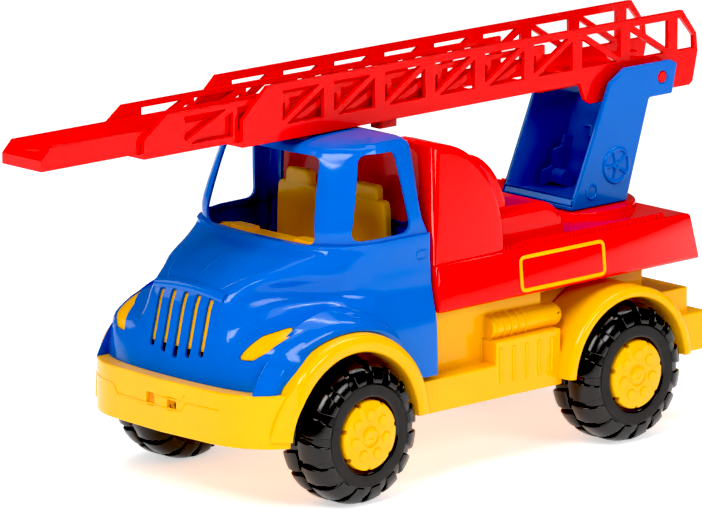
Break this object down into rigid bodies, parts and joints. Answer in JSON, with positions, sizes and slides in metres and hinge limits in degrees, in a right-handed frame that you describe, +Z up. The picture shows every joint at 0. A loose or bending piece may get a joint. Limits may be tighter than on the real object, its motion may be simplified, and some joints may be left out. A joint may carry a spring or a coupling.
{
  "type": "toy fire engine with a telescoping ladder",
  "caption": "Moulded plastic toy fire engine: bonneted cab, stepped rear body, and a slewing turret with a lifting, telescoping ladder.",
  "frame": {"origin": "on the floor, at the middle of the whole outline with the ladder as parked", "axes": "+Z up, -Y towards the front of the vehicle, +X towards its left side"},
  "size_m": [0.1318, 0.372, 0.1712],
  "materials": {
    "yellow_plastic": "glossy injection-moulded polypropylene",
    "blue_plastic": "glossy injection-moulded polypropylene",
    "red_plastic": "glossy injection-moulded polypropylene",
    "black_plastic": "glossy tread and matte side walls",
    "axle_steel": "drawn steel rod"
  },
  "bodies": {
    "truck": {"chassis": "yellow_plastic", "front_arches": "yellow_plastic", "rear_arches": "yellow_plastic", "front_axle": "axle_steel", "rear_axle": "axle_steel", "cab_shell": "blue_plastic", "cab_interior": "yellow_plastic", "head_lamps": "yellow_plastic", "grille_insert": "yellow_plastic", "rear_body": "red_plastic"},
    "wheel_front_left": {"tyre_front_left": "black_plastic", "hub_front_left": "yellow_plastic"},
    "wheel_front_right": {"tyre_front_right": "black_plastic", "hub_front_right": "yellow_plastic"},
    "wheel_rear_left": {"tyre_rear_left": "black_plastic", "hub_rear_left": "yellow_plastic"},
    "wheel_rear_right": {"tyre_rear_right": "black_plastic", "hub_rear_right": "yellow_plastic"},
    "turret": {"turret": "blue_plastic"},
    "ladder_base": {"base_rails": "red_plastic", "base_floor": "red_plastic", "pivot_pegs": "red_plastic"},
    "ladder_middle": {"middle_rails": "red_plastic", "middle_floor": "red_plastic"},
    "ladder_top": {"top_rails": "red_plastic", "top_floor": "red_plastic"}
  },
  "joints": [
    {"name": "wheel_front_left_spin", "type": "hinge", "parent": "truck", "child": "wheel_front_left", "pos_m": [0.0525, -0.055, 0.03], "axis": [1, 0, 0], "continuous": true},
    {"name": "wheel_front_right_spin", "type": "hinge", "parent": "truck", "child": "wheel_front_right", "pos_m": [-0.0525, -0.055, 0.03], "axis": [1, 0, 0], "continuous": true},
    {"name": "wheel_rear_left_spin", "type": "hinge", "parent": "truck", "child": "wheel_rear_left", "pos_m": [0.0525, 0.101, 0.03], "axis": [1, 0, 0], "continuous": true},
    {"name": "wheel_rear_right_spin", "type": "hinge", "parent": "truck", "child": "wheel_rear_right", "pos_m": [-0.0525, 0.101, 0.03], "axis": [1, 0, 0], "continuous": true},
    {"name": "turret_slew", "type": "hinge", "parent": "truck", "child": "turret", "pos_m": [0, 0.122, 0.0935], "axis": [0, 0, 1], "continuous": true},
    {"name": "ladder_lift", "type": "hinge", "parent": "turret", "child": "ladder_base", "pos_m": [0, 0.159, 0.1449], "axis": [-1, 0, 0], "range_deg": [0, 65]},
    {"name": "ladder_middle_slide", "type": "slide", "parent": "ladder_base", "child": "ladder_middle", "axis": [0, -1, 0], "range_m": [-0.05, 0.1]},
    {"name": "ladder_top_slide", "type": "slide", "parent": "ladder_middle", "child": "ladder_top", "axis": [0, -1, 0], "range_m": [-0.05, 0.095]}
  ]
}
